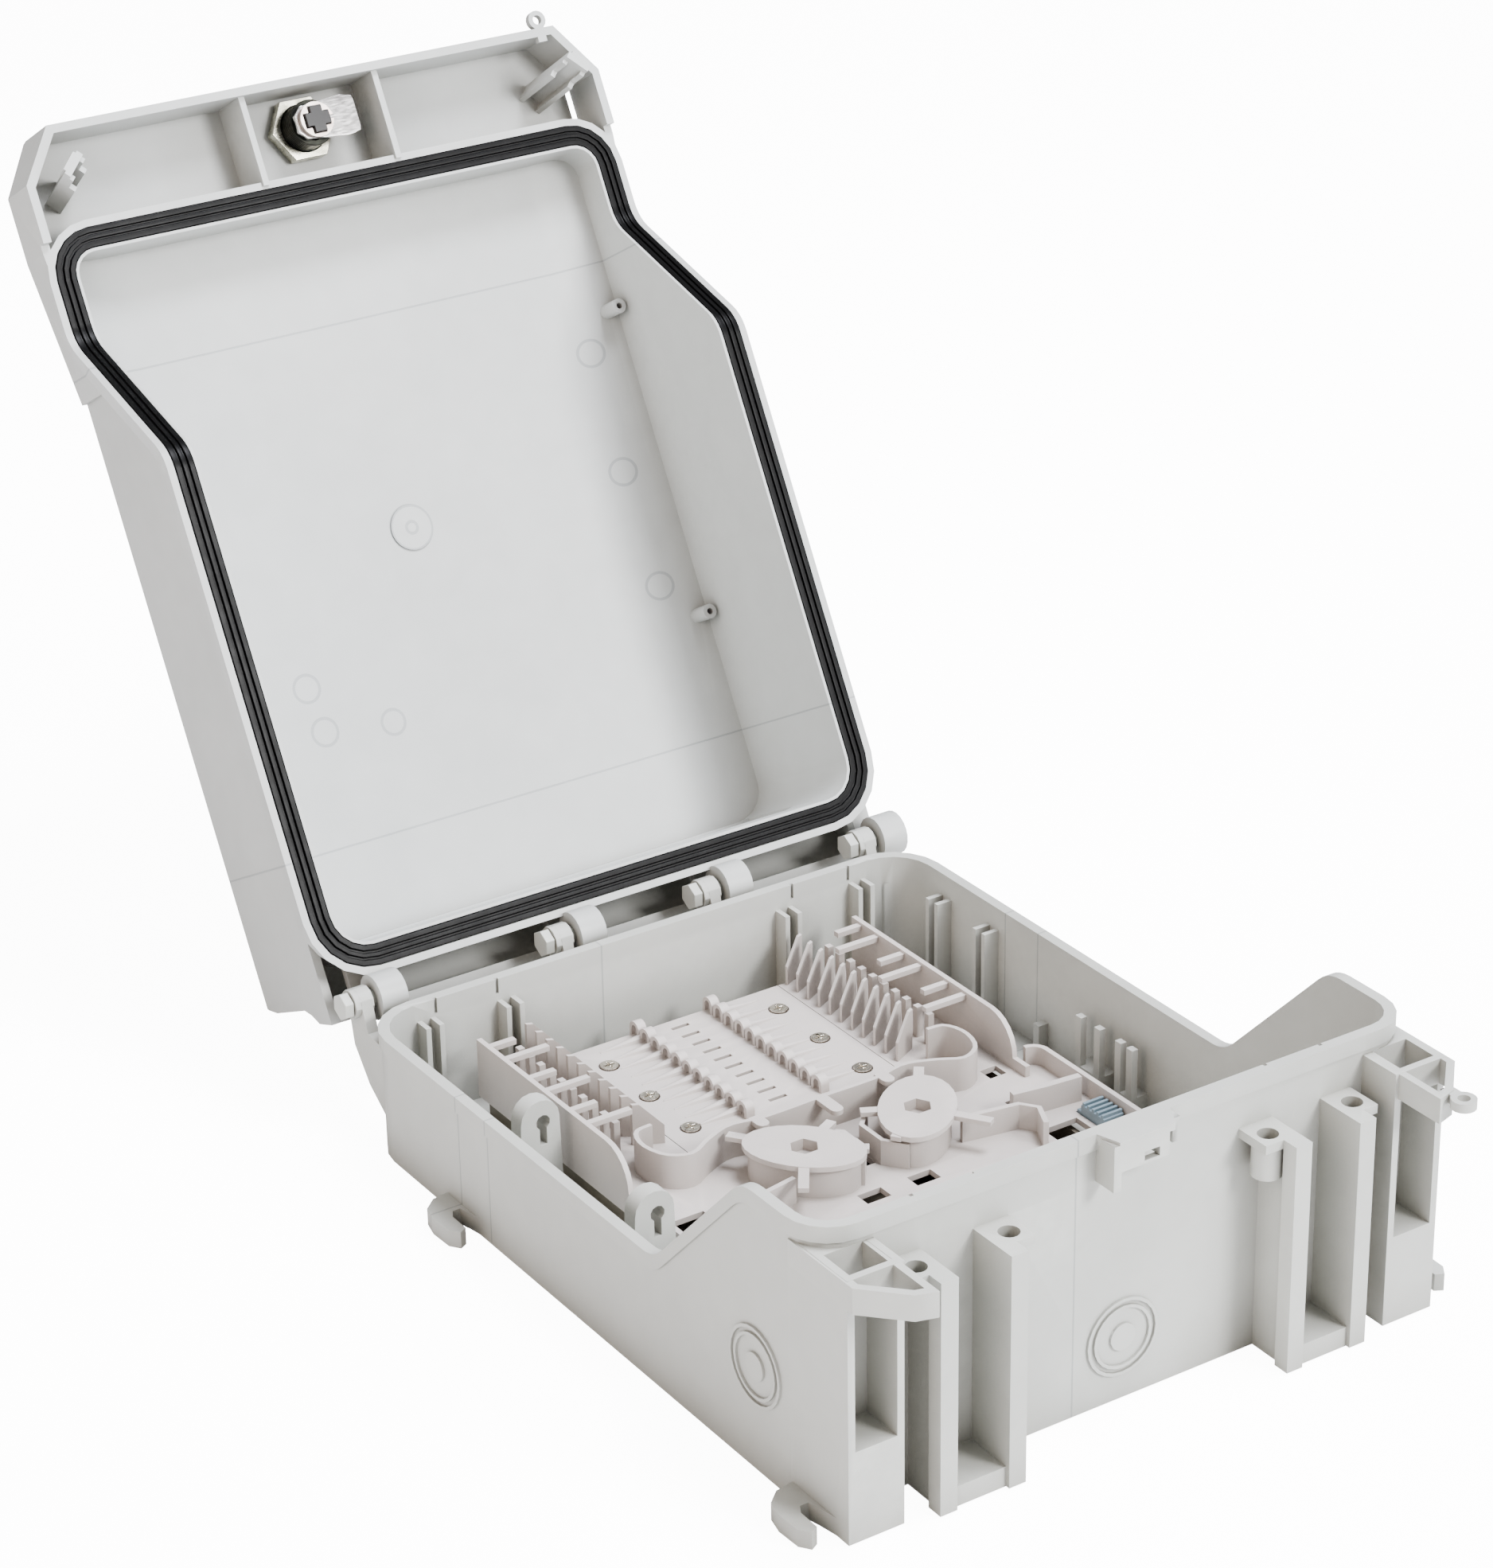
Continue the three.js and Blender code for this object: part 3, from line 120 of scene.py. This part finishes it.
# Bump layers, as (depth in metres, strength).
GRAIN_BUMP = (0.00002, 0.35)
WAVE_BUMP = (0.0006, 0.25)
LINE_BUMP = (0.0004, 0.8)
RUBBER_GRAIN_BUMP = (0.00004, 0.4)
RUBBER_WAVE_BUMP = (0.0003, 0.3)
DRAWN_BUMP = (0.00001, 0.3)
PLATE_BUMP = (0.00006, 0.25)
THREAD_BUMP = (0.0004, 1.0)

# Stage. Lights are (name, place, aim, disc width, watts, tint).
FLOOR_HALF = 6
FLOOR_DROP = 0.0005
FLOOR_CLOUD = 0.4
FLOOR_GLOW = 12.0
SKY_STRENGTH = 0.42
LIGHTS = (
    ("key", (0.9, -2.0, 1.5), (0, 0.05, 0.05), 0.8, 88, "#ffffff"),
    ("fill", (-1.8, -0.5, 1.1), (0, 0.05, 0.1), 1.4, 17, "#ffe9d6"),
    ("top", (0.5, -0.3, 2.3), (0, 0.1, 0), 0.8, 80, "#f6f8ff"),
)
CAMERA_AT = (-0.68555, -0.98207, 0.72976)
CAMERA_YAW = math.radians(33.218)
CAMERA_PITCH = math.radians(25.828)
CAMERA_ROLL = math.radians(-1.017)
CAMERA_LENS = 101.2
CAMERA_SENSOR = 36

WHITE = (1, 1, 1)


def linear(hex_colour):
    """An sRGB hex colour as linear RGB."""
    parts = [int(hex_colour[i : i + 2], 16) / 255 for i in (1, 3, 5)]
    return [c / 12.92 if c <= 0.04045 else ((c + 0.055) / 1.055) ** 2.4 for c in parts]


def colour_property(name, description, hex_colour):
    return FloatVectorProperty(
        name=name,
        description=description,
        subtype="COLOR",
        size=3,
        min=0,
        max=1,
        default=linear(hex_colour),
    )


class BoxLooks(bpy.types.PropertyGroup):
    shell_colour: colour_property("Shell", "Colour of the tub", "#cfd1cd")
    lid_colour: colour_property("Lid", "Colour of the lid", "#d2d5d4")
    pin_colour: colour_property("Pins", "Colour of the hinge pins", "#d9dcd7")
    tray_colour: colour_property("Tray", "Colour of the splice tray", "#dad3d0")
    # The carrier's dark warm grey is painted shade: the strip under the tray is coloured as its
    # shadow.
    carrier_shade_colour: colour_property("Carrier", "Colour of the tray's carrier", "#8d8679")
    clip_colour: colour_property("Clip", "Colour of the tray's clip", "#8299a8")
    seal_colour: colour_property("Seal", "Colour of the lid's seal", "#040405")
    edge_round: FloatProperty(
        name="Edge round",
        description="Rounding of moulded edges",
        default=0.0004,
        min=0,
        max=0.002,
        unit="LENGTH",
    )


# ---- materials ----------------------------------------------------------------------------------


def add(tree, kind, inputs=(), **attributes):
    """Adds a node, sets its attributes, and sets or links each (input, value or socket) pair."""
    node = tree.nodes.new(kind)
    for key, value in attributes.items():
        setattr(node, key, value)
    for key, value in inputs:
        if isinstance(value, bpy.types.NodeSocket):
            tree.links.new(value, node.inputs[key])
        else:
            node.inputs[key].default_value = value
    return node


def new_material(name):
    material = bpy.data.materials.new(name)
    material.use_nodes = True
    tree = material.node_tree
    return material, tree, tree.nodes["Principled BSDF"]


def place(tree, matrix=None):
    """Object coordinates, turned back to the shut lid's frame when a matrix is given."""
    coords = add(tree, "ShaderNodeTexCoord").outputs["Object"]
    if matrix is None:
        return coords
    location, rotation, _ = matrix.decompose()
    turned = [("Vector", coords), ("Location", location), ("Rotation", rotation.to_euler())]
    return add(tree, "ShaderNodeMapping", turned).outputs["Vector"]


def patterns(tree, coords, rows):
    """One noise for each (feature size in metres, detail) row."""
    made = []
    for size, detail in rows:
        inputs = [("Vector", coords), ("Scale", 1 / size), ("Detail", detail)]
        made.append(add(tree, "ShaderNodeTexNoise", inputs).outputs["Fac"])
    return made


def blend(tree, pattern, low, high, start=0.35, end=0.65):
    """The low colour where the pattern is under start, the high one over end, mixed between."""
    reach = [("Value", pattern), ("From Min", start), ("From Max", end)]
    amount = add(tree, "ShaderNodeMapRange", reach).outputs["Result"]
    colours = [("Factor", amount), ("A", (*low, 1)), ("B", (*high, 1))]
    return add(tree, "ShaderNodeMix", colours, data_type="RGBA").outputs["Result"]


def layered(tree, colour, layers):
    """Lays (blend type, amount, colour) layers over a colour, in order."""
    for blend_type, amount, over in layers:
        inputs = [("Factor", amount), ("A", colour), ("B", over)]
        mix = add(tree, "ShaderNodeMix", inputs, data_type="RGBA", blend_type=blend_type)
        colour = mix.outputs["Result"]
    return colour


def set_roughness(tree, shader, pattern, low, high):
    inputs = [("Value", pattern), ("To Min", low), ("To Max", high)]
    spread = add(tree, "ShaderNodeMapRange", inputs).outputs["Result"]
    tree.links.new(spread, shader.inputs["Roughness"])


def shade(colour, factor):
    return [min(c * factor, 1) for c in colour]


def bumps(tree, shader, layers):
    """Chains bump nodes: each layer is (height socket, depth in metres, strength)."""
    normal = None
    for height, depth, strength in layers:
        inputs = [("Height", height), ("Distance", depth), ("Strength", strength)]
        if normal:
            inputs.append(("Normal", normal))
        normal = add(tree, "ShaderNodeBump", inputs).outputs["Normal"]
    tree.links.new(normal, shader.inputs["Normal"])


def chained(tree, value, steps):
    """Takes a value through (operation, second operand) steps."""
    for operation, operand in steps:
        inputs = [(0, value), (1, operand)]
        value = add(tree, "ShaderNodeMath", inputs, operation=operation).outputs[0]
    return value


def off_line(tree, measure, at, half_width):
    """0 where a measure is within half_width of a value, and 1 elsewhere."""
    steps = (("SUBTRACT", at), ("ABSOLUTE", 0.0), ("GREATER_THAN", half_width))
    return chained(tree, measure, steps)


def mould_lines(tree, coords, circles, seams):
    """0 on every circle and seam, and 1 off them."""
    parts = add(tree, "ShaderNodeSeparateXYZ", [("Vector", coords)]).outputs
    plan = add(tree, "ShaderNodeVectorMath", [(0, coords), (1, (1, 1, 0))], operation="MULTIPLY")
    clear = None
    for centre, radius in circles:
        ends = [(0, plan.outputs["Vector"]), (1, (*centre, 0))]
        reach = add(tree, "ShaderNodeVectorMath", ends, operation="DISTANCE").outputs["Value"]
        line = off_line(tree, reach, radius, CIRCLE_HALF_WIDTH)
        clear = chained(tree, clear, [("MINIMUM", line)]) if clear else line
    for axis, at in seams:
        line = off_line(tree, parts[axis], at, SEAM_HALF_WIDTH)
        clear = chained(tree, clear, [("MINIMUM", line)]) if clear else line
    return clear


def moulded(name, colour, rough=0.46, circles=(), seams=(), matrix=None):
    """Injection-moulded plastic: fine grain, slow waves, painted highlights on its edges, painted
    shade in its hollows.
    """
    material, tree, shader = new_material(name)
    coords = place(tree, matrix)
    rows = ((SINK_WAVE, 4), (GRAIN, 2), (CLOUD, 5), (EDGE_PATCH, 3), (SHEEN_PATCH, 4))
    waves, grain, clouds, edge_patches, patches = patterns(tree, coords, rows)
    base = blend(tree, waves, shade(colour, 0.955), shade(colour, 1.03))
    point = add(tree, "ShaderNodeNewGeometry").outputs["Pointiness"]
    # Painted highlight: convex edges are made paler, broken into patches.
    steps = [("SUBTRACT", EDGE_LIGHT_FROM), ("MULTIPLY", EDGE_LIGHT_GAIN), ("MAXIMUM", 0.0)]
    edge_light = chained(tree, point, [*steps, ("MULTIPLY", edge_patches)])
    # Painted shade: ambient occlusion darkens the colour in hollows and channels.
    painted_shade = add(tree, "ShaderNodeAmbientOcclusion", [("Distance", HOLLOW_SHADE_REACH)], samples=8)
    layers = [
        ("MULTIPLY", 0.5, blend(tree, clouds, [0.94] * 3, WHITE)),
        ("MIX", edge_light, (*shade(colour, 1.12), 1)),
        ("MULTIPLY", 1, blend(tree, painted_shade.outputs["AO"], HOLLOW_SHADE, WHITE, 0.15, 0.8)),
    ]
    relief = [(grain, *GRAIN_BUMP), (waves, *WAVE_BUMP)]
    if circles or seams:
        clear = mould_lines(tree, coords, circles, seams)
        relief.append((clear, *LINE_BUMP))
        # Painted shade: the marks are darkened into thin lines, standing in for the shade in their
        # grooves.
        layers.append(("MULTIPLY", 1, blend(tree, clear, LINE_SHADE, WHITE, 0.1, 0.9)))
    tree.links.new(layered(tree, base, layers), shader.inputs["Base Color"])
    set_roughness(tree, shader, patches, rough - 0.06, rough + 0.08)
    bumps(tree, shader, relief)
    return material


def rubber(name, colour):
    """Moulded EPDM seal rubber: near black, with a waxy sheen and a fine uneven grain."""
    material, tree, shader = new_material(name)
    coords = place(tree)
    rows = ((RUBBER_BLOOM, 6), (RUBBER_PATCH, 4), (RUBBER_GRAIN, 3), (RUBBER_WAVE, 2))
    bloom, patches, grain, wave = patterns(tree, coords, rows)
    grey = blend(tree, bloom, shade(colour, 0.7), shade(colour, 1.4))
    tree.links.new(grey, shader.inputs["Base Color"])
    set_roughness(tree, shader, patches, 0.3, 0.46)
    shader.inputs["Specular IOR Level"].default_value = 0.12
    bumps(tree, shader, [(grain, *RUBBER_GRAIN_BUMP), (wave, *RUBBER_WAVE_BUMP)])
    return material


def plated(name, hex_low, hex_high, rough, cloud=0.004, thread=0.0):
    """Plated or passivated metal: drawn lines, clouded plating, and a thread where one is cut."""
    material, tree, shader = new_material(name)
    coords = place(tree, LID_SHUT)
    stretch = [("Vector", coords), ("Scale", (DRAWN_STRETCH, 1, 1))]
    drawn = add(tree, "ShaderNodeMapping", stretch).outputs["Vector"]
    (clouds,) = patterns(tree, coords, ((cloud, 5),))
    (lines,) = patterns(tree, drawn, ((DRAWN_LINE, 4),))
    colour = blend(tree, clouds, linear(hex_low), linear(hex_high), 0.3, 0.7)
    tree.links.new(colour, shader.inputs["Base Color"])
    set_roughness(tree, shader, lines, rough - 0.08, rough + 0.14)
    shader.inputs["Metallic"].default_value = 1
    layers = [(lines, *DRAWN_BUMP), (clouds, *PLATE_BUMP)]
    if thread:
        # A wave's bands repeat every pi / 10 / scale.
        turns = [("Vector", coords), ("Scale", math.pi / 10 / thread)]
        wave = add(tree, "ShaderNodeTexWave", turns, bands_direction="Z").outputs["Fac"]
        layers.append((wave, *THREAD_BUMP))
    bumps(tree, shader, layers)
    return material


# ---- pieces -------------------------------------------------------------------------------------


def piece(name, bm, material, body, nodes):
    """Puts a finished bmesh in the scene as one piece that stands for the CAD nodes given."""
    mesh = bpy.data.meshes.new(name)
    bmesh.ops.recalc_face_normals(bm, faces=bm.faces)
    bm.to_mesh(mesh)
    bm.free()
    for polygon in mesh.polygons:
        polygon.use_smooth = True
    mesh.set_sharp_from_angle(angle=SHARP_FROM)
    mesh.materials.append(material)
    made = bpy.data.objects.new(name, mesh)
    bpy.context.scene.collection.objects.link(made)
    flat_faces = made.modifiers.new("flat faces", "WEIGHTED_NORMAL")
    flat_faces.keep_sharp = True
    flat_faces.weight = 100
    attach(made, body)
    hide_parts(*nodes)


def from_node(node):
    """A merged working copy of a CAD node, its flat faces made whole."""
    bm = bmesh.new()
    bm.from_mesh(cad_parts[node].data)
    for face in bm.faces:
        face.material_index = 0
    bmesh.ops.remove_doubles(bm, verts=bm.verts, dist=SAME_POINT)
    bmesh.ops.dissolve_limit(bm, angle_limit=FLAT_WITHIN, verts=bm.verts, edges=bm.edges)
    bmesh.ops.recalc_face_normals(bm, faces=bm.faces)
    return bm


def round_edges(bm, size):
    """Rounds the sharp edges that have room for it."""
    short = set()
    for edge in bm.edges:
        if edge.calc_length() < size * ROUND_ROOM:
            short.update(edge.verts)
    sharp = [
        edge
        for edge in bm.edges
        if len(edge.link_faces) == 2
        and edge.calc_face_angle(0) > ROUND_FROM
        and short.isdisjoint(edge.verts)
    ]
    bmesh.ops.bevel(
        bm,
        geom=sharp,
        offset=size,
        offset_type="OFFSET",
        segments=ROUND_SEGMENTS,
        profile=0.5,
        affect="EDGES",
        clamp_overlap=True,
        material=-1,
    )
    return bm


def finished(node, name, material, body, size):
    """Rounds a CAD node's edges and puts it in the scene in its place."""
    piece(name, round_edges(from_node(node), size), material, body, [node])


# ---- operators ----------------------------------------------------------------------------------


class BOX_OT_tub(bpy.types.Operator):
    """Finish the tub with rounded edges and moulded plastic"""

    bl_idname = "termination_box.tub"
    bl_label = "Tub"

    def execute(self, context):
        looks = context.scene.box_looks
        material = moulded("asa_shell_grey", looks.shell_colour, seams=TUB_SEAMS)
        finished("base_tub", "tub_shell", material, "base", looks.edge_round)
        return {"FINISHED"}


class BOX_OT_pins(bpy.types.Operator):
    """Finish the hinge pins"""

    bl_idname = "termination_box.pins"
    bl_label = "Hinge pins"

    def execute(self, context):
        looks = context.scene.box_looks
        material = moulded("pom_pin_white", looks.pin_colour, 0.36)
        for i in range(1, 5):
            name = f"hinge_stub_{i}"
            finished(f"hinge_pin_{i}", name, material, "base", looks.edge_round)
        return {"FINISHED"}


class BOX_OT_lid(bpy.types.Operator):
    """Finish the lid with its moulding marks"""

    bl_idname = "termination_box.lid"
    bl_label = "Lid"

    def execute(self, context):
        looks = context.scene.box_looks
        material = moulded(
            "asa_lid_grey",
            looks.lid_colour,
            0.42,
            circles=LID_CIRCLES,
            seams=LID_SEAMS,
            matrix=LID_SHUT,
        )
        finished("lid_cover", "lid_shell", material, "lid", looks.edge_round)
        return {"FINISHED"}


class BOX_OT_seal(bpy.types.Operator):
    """Finish the lid's seal"""

    bl_idname = "termination_box.seal"
    bl_label = "Seal"

    def execute(self, context):
        material = rubber("epdm_seal_black", context.scene.box_looks.seal_colour)
        finished("lid_gasket", "lid_seal", material, "lid", SEAL_ROUND)
        return {"FINISHED"}


class BOX_OT_lock(bpy.types.Operator):
    """Finish the cam lock"""

    bl_idname = "termination_box.lock"
    bl_label = "Cam lock"

    def execute(self, context):
        nickel = plated("nickel_plated_spring_steel", "#c9b8b0", "#ecdfd8", 0.3)
        zinc = plated("yellow_zinc_steel", "#a9a794", "#f1eedd", 0.22)
        bright = plated("bright_zinc_plate", "#e8e4e2", "#fbf9f8", 0.12, 0.008)
        black = plated("black_passivated_zinc", "#161715", "#33342f", 0.38, thread=THREAD_PITCH)
        plug = moulded("pa_plug_black", linear("#1d1b1b"), 0.42)
        finished("lock_body", "lock_barrel", black, "lid", LOCK_ROUND)
        finished("lock_nut", "lock_hex_nut", zinc, "lid", NUT_ROUND)
        finished("lock_cam", "lock_cam_plate", bright, "lock_core", LOCK_ROUND)
        finished("lock_plug", "lock_core_plug", plug, "lock_core", LOCK_ROUND)
        finished(
            "lock_retaining_clip", "lock_spring_clip", nickel, "lock_core", SPRING_ROUND
        )
        return {"FINISHED"}


class BOX_OT_tray(bpy.types.Operator):
    """Finish the splice tray, its deck, screws and clip, and its carrier"""

    bl_idname = "termination_box.tray"
    bl_label = "Splice tray"

    def execute(self, context):
        looks = context.scene.box_looks
        plastic = moulded("abs_tray_warm_white", looks.tray_colour, 0.5)
        finished("tray_body", "tray_moulding", plastic, "tray", TRAY_ROUND)
        finished("splice_deck", "splice_moulding", plastic, "tray", DECK_ROUND)
        zinc = plated("screw_zinc", "#a8a298", "#e8e2d6", 0.25, 0.0015)
        for i in range(1, 7):
            finished(f"tray_screw_{i}", f"tray_fixing_{i}", zinc, "tray", SCREW_ROUND)
        clip = moulded("pa_clip_blue_grey", looks.clip_colour, 0.42)
        finished("tray_clip", "tray_blue_clip", clip, "tray", CLIP_ROUND)
        # Painted shade: the carrier is a dark sheet under the tray, coloured as the shadow there.
        carrier = moulded("abs_carrier_painted_shade", looks.carrier_shade_colour, 0.55)
        finished(
            "tray_carrier", "carrier_shade_sheet", carrier, "base", CARRIER_ROUND
        )
        return {"FINISHED"}


class BOX_OT_stage(bpy.types.Operator):
    """Floor, soft lights and camera"""

    bl_idname = "termination_box.stage"
    bl_label = "Stage"

    def execute(self, context):
        add_floor(context)
        world = bpy.data.worlds.new("studio")
        context.scene.world = world
        world.use_nodes = True
        back = world.node_tree.nodes["Background"]
        back.inputs["Color"].default_value = (*WHITE, 1)
        back.inputs["Strength"].default_value = SKY_STRENGTH
        for row in LIGHTS:
            add_light(context, *row)
        add_camera(context)
        return {"FINISHED"}


def add_floor(context):
    bm = bmesh.new()
    bmesh.ops.create_grid(bm, x_segments=8, y_segments=8, size=FLOOR_HALF)
    bmesh.ops.translate(bm, vec=(0, 0, -FLOOR_DROP), verts=bm.verts)
    mesh = bpy.data.meshes.new("floor")
    bm.to_mesh(mesh)
    bm.free()
    material, tree, shader = new_material("paper_floor")
    (clouds,) = patterns(tree, place(tree), ((FLOOR_CLOUD, 3),))
    paper = blend(tree, clouds, [0.93] * 3, [0.96] * 3)
    tree.links.new(paper, shader.inputs["Base Color"])
    shader.inputs["Roughness"].default_value = 0.9
    # The floor glows for camera rays alone, so it looks white and adds no light to the box.
    seen = add(tree, "ShaderNodeLightPath").outputs["Is Camera Ray"]
    shader.inputs["Emission Color"].default_value = (*WHITE, 1)
    glow = chained(tree, seen, [("MULTIPLY", FLOOR_GLOW)])
    tree.links.new(glow, shader.inputs["Emission Strength"])
    mesh.materials.append(material)
    floor = bpy.data.objects.new("floor", mesh)
    context.scene.collection.objects.link(floor)


def add_light(context, name, at, to, size, power, tint):
    light = bpy.data.lights.new(name, "AREA")
    light.shape = "DISK"
    light.size = size
    light.energy = power
    light.color = linear(tint)
    lamp = bpy.data.objects.new(name, light)
    lamp.location = at
    lamp.rotation_euler = (Vector(to) - Vector(at)).to_track_quat("-Z", "Y").to_euler()
    context.scene.collection.objects.link(lamp)


def add_camera(context):
    level = math.cos(CAMERA_PITCH)
    ahead = Vector(
        (math.sin(CAMERA_YAW) * level, math.cos(CAMERA_YAW) * level, -math.sin(CAMERA_PITCH))
    )
    right = Vector((math.cos(CAMERA_YAW), -math.sin(CAMERA_YAW), 0))
    up = right.cross(ahead)
    right, up = (
        right * math.cos(CAMERA_ROLL) + up * math.sin(CAMERA_ROLL),
        up * math.cos(CAMERA_ROLL) - right * math.sin(CAMERA_ROLL),
    )
    camera = bpy.data.cameras.new("camera")
    camera.lens = CAMERA_LENS
    camera.sensor_width = CAMERA_SENSOR
    camera.clip_end = 50
    holder = bpy.data.objects.new("camera", camera)
    turn = Matrix((right, up, -ahead)).transposed().to_4x4()
    holder.matrix_world = Matrix.Translation(CAMERA_AT) @ turn
    context.scene.collection.objects.link(holder)
    context.scene.camera = holder


STEPS = ("tub", "pins", "lid", "seal", "lock", "tray", "stage")


class BOX_PT_panel(bpy.types.Panel):
    """Lists the box's pieces and their settings"""

    bl_idname = "BOX_PT_panel"
    bl_label = "Termination Box"
    bl_space_type = "VIEW_3D"
    bl_region_type = "UI"
    bl_category = "Termination Box"

    def draw(self, context):
        for step in STEPS:
            self.layout.operator("termination_box." + step)
        looks = context.scene.box_looks
        for key in looks.__annotations__:
            self.layout.prop(looks, key)


CLASSES = (
    BoxLooks,
    BOX_OT_tub,
    BOX_OT_pins,
    BOX_OT_lid,
    BOX_OT_seal,
    BOX_OT_lock,
    BOX_OT_tray,
    BOX_OT_stage,
    BOX_PT_panel,
)


def register():
    for cls in CLASSES:
        bpy.utils.register_class(cls)
    bpy.types.Scene.box_looks = PointerProperty(type=BoxLooks)


def unregister():
    del bpy.types.Scene.box_looks
    for cls in reversed(CLASSES):
        bpy.utils.unregister_class(cls)


def main():
    register()
    for step in STEPS:
        getattr(bpy.ops.termination_box, step)()


if __name__ == "__main__":
    main()
